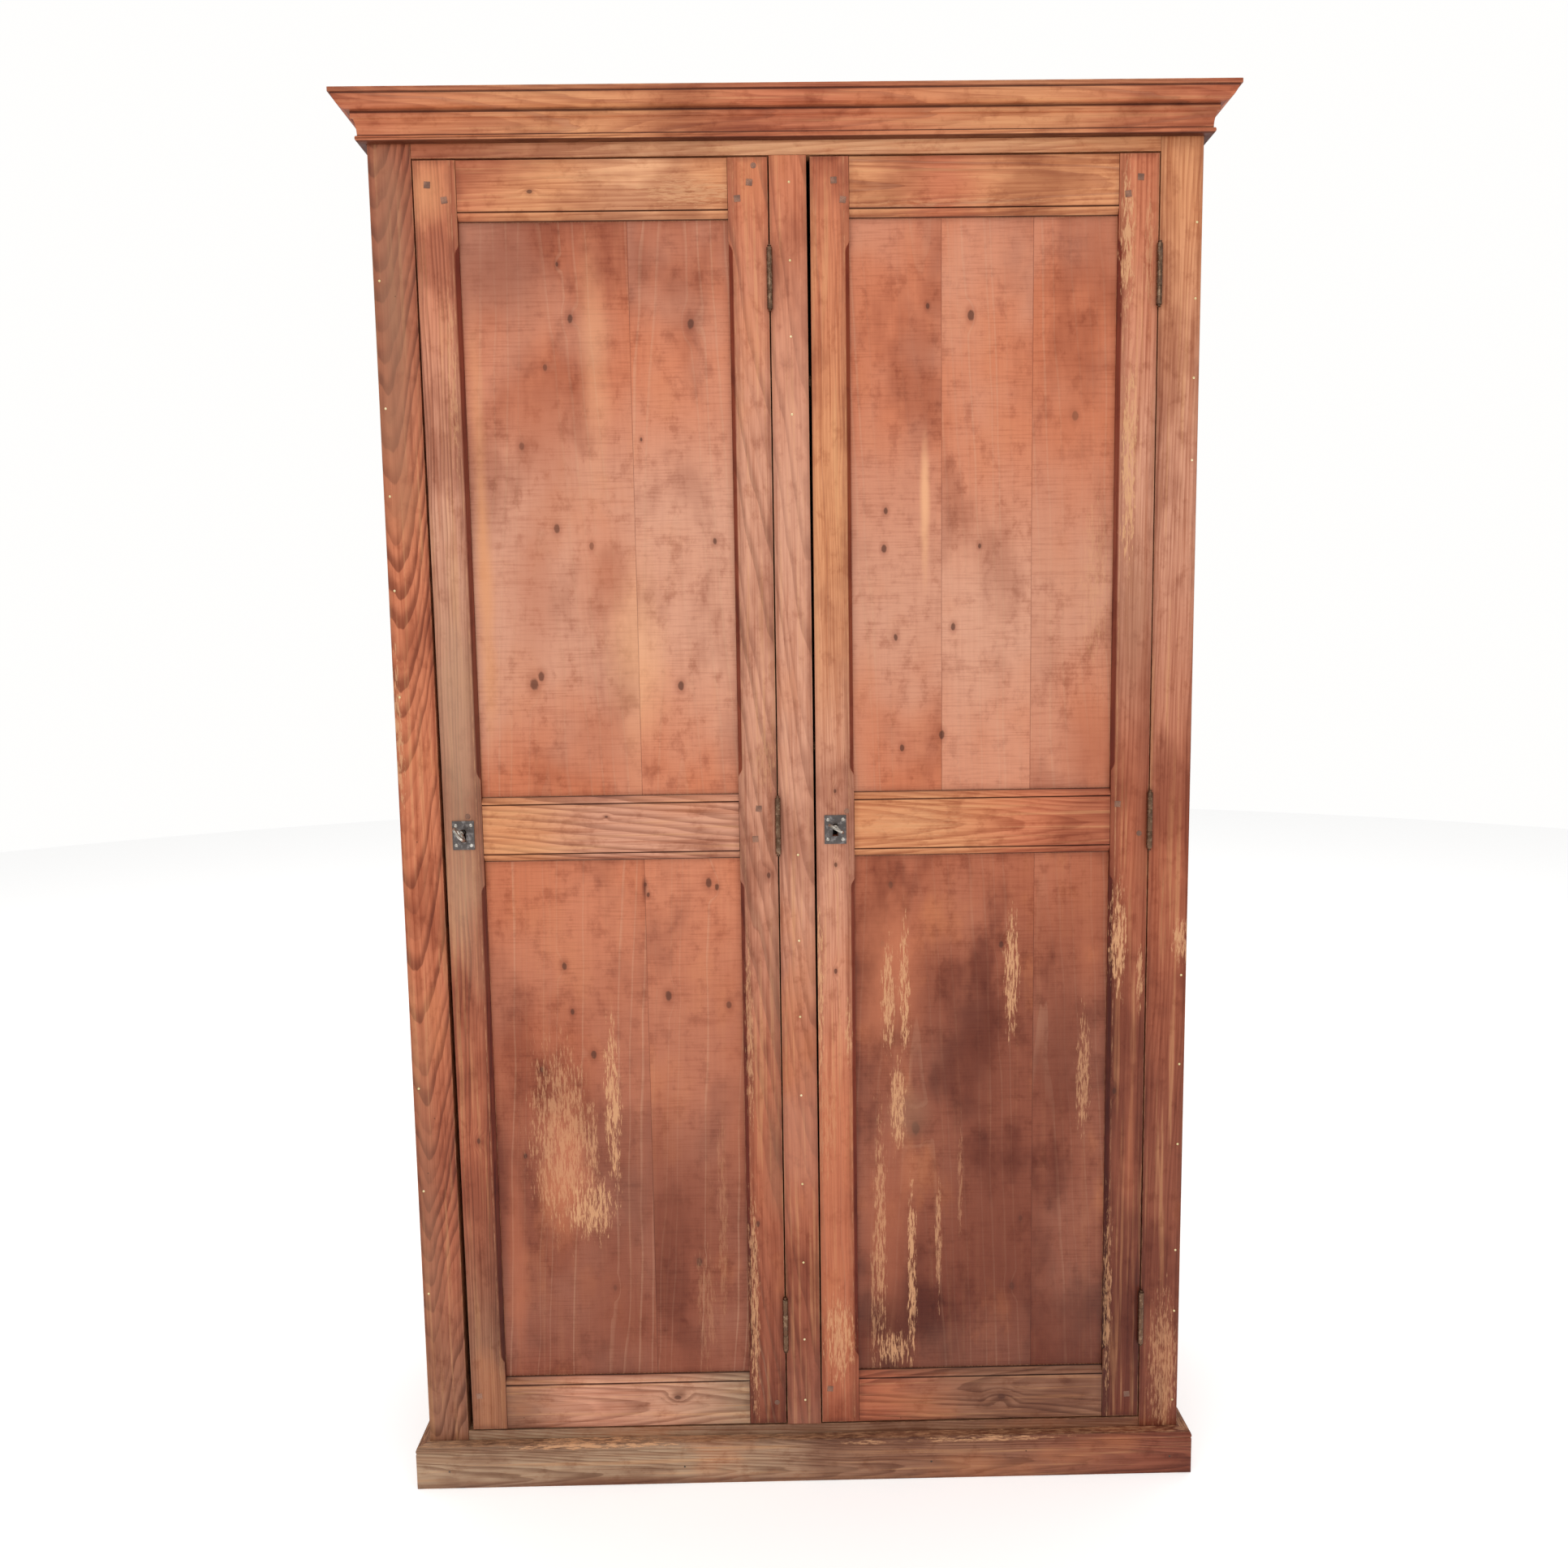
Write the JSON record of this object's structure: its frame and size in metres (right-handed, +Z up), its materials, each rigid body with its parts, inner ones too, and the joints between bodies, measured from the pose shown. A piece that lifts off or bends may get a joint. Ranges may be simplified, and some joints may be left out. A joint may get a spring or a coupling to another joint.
{
  "type": "armoire",
  "caption": "Tall pine armoire with inset panelled doors hung on their right side, a moulded cornice, a plinth, housed shelves and rim locks with keys.",
  "frame": {"origin": "on the floor, under the middle of the whole outline with its cornice", "axes": "+Z up, -Y the way the doors face, +X to the right seen from the front"},
  "size_m": [1.332, 0.521, 2.195],
  "materials": {
    "frame_pine": "old waxed pine, satin, orange-brown",
    "door_pine": "old waxed pine, satin, paler and worn",
    "panel_pine": "old waxed pine, satin, red-brown",
    "raw_pine": "unfinished aged pine, matt",
    "iron": "aged wrought iron with rubbed edges",
    "key_iron": "worn bright iron"
  },
  "bodies": {
    "root": {"left_post": "frame_pine", "right_post": "frame_pine", "centre_mullion": "frame_pine", "head_rail": "frame_pine", "sill_rail": "frame_pine", "left_side": "frame_pine", "right_side": "frame_pine", "centre_partition": "raw_pine", "floor_board": "raw_pine", "top_board": "raw_pine", "back_board_1": "raw_pine", "back_board_2": "raw_pine", "back_board_3": "raw_pine", "back_board_4": "raw_pine", "left_shelf_1": "raw_pine", "left_shelf_2": "raw_pine", "left_shelf_3": "raw_pine", "right_shelf_1": "raw_pine", "right_shelf_2": "raw_pine", "right_shelf_3": "raw_pine", "cornice_front": "frame_pine", "cornice_left": "frame_pine", "cornice_right": "frame_pine", "plinth_front": "frame_pine", "plinth_left": "frame_pine", "plinth_right": "frame_pine", "left_hinge_top_frame_leaf": "iron", "left_hinge_mid_frame_leaf": "iron", "left_hinge_bottom_frame_leaf": "iron", "right_hinge_top_frame_leaf": "iron", "right_hinge_mid_frame_leaf": "iron", "right_hinge_bottom_frame_leaf": "iron"},
    "left_door": {"left_door_lock_stile": "door_pine", "left_door_hinge_stile": "door_pine", "left_door_top_rail": "door_pine", "left_door_mid_rail": "door_pine", "left_door_bottom_rail": "door_pine", "left_door_upper_panel": "panel_pine", "left_door_lower_panel": "panel_pine", "left_hinge_top_door_leaf": "iron", "left_hinge_mid_door_leaf": "iron", "left_hinge_bottom_door_leaf": "iron", "left_escutcheon": "iron", "left_lock_case": "iron"},
    "right_door": {"right_door_lock_stile": "door_pine", "right_door_hinge_stile": "door_pine", "right_door_top_rail": "door_pine", "right_door_mid_rail": "door_pine", "right_door_bottom_rail": "door_pine", "right_door_upper_panel": "panel_pine", "right_door_lower_panel": "panel_pine", "right_hinge_top_door_leaf": "iron", "right_hinge_mid_door_leaf": "iron", "right_hinge_bottom_door_leaf": "iron", "right_escutcheon": "iron", "right_lock_case": "iron"},
    "left_key": {"left_key": "key_iron"},
    "left_bolt": {"left_bolt": "iron"},
    "right_key": {"right_key": "key_iron"},
    "right_bolt": {"right_bolt": "iron"}
  },
  "joints": [
    {"name": "left_door_hinge", "type": "hinge", "parent": "root", "child": "left_door", "pos_m": [-0.029, -0.2243, 1.0995], "axis": [0, 0, 1], "range_deg": [0, 150]},
    {"name": "right_door_hinge", "type": "hinge", "parent": "root", "child": "right_door", "pos_m": [0.56, -0.2243, 1.0995], "axis": [0, 0, 1], "range_deg": [0, 170]},
    {"name": "left_key_turn", "type": "hinge", "parent": "left_door", "child": "left_key", "pos_m": [-0.52575, -0.2195, 1.097], "axis": [0, -1, 0], "range_deg": [-38, 180]},
    {"name": "right_key_turn", "type": "hinge", "parent": "right_door", "child": "right_key", "pos_m": [0.06175, -0.2195, 1.097], "axis": [0, -1, 0], "range_deg": [-60, 180]},
    {"name": "left_bolt_slide", "type": "slide", "parent": "left_door", "child": "left_bolt", "axis": [-1, 0, 0], "range_m": [-0.00253, 0.012]},
    {"name": "right_bolt_slide", "type": "slide", "parent": "right_door", "child": "right_bolt", "axis": [-1, 0, 0], "range_m": [-0.004, 0.012]}
  ],
  "couplings": [
    {"joint": "left_key_turn", "follows": "left_bolt_slide", "rad_per_m": 261.8},
    {"joint": "right_key_turn", "follows": "right_bolt_slide", "rad_per_m": 261.8}
  ]
}
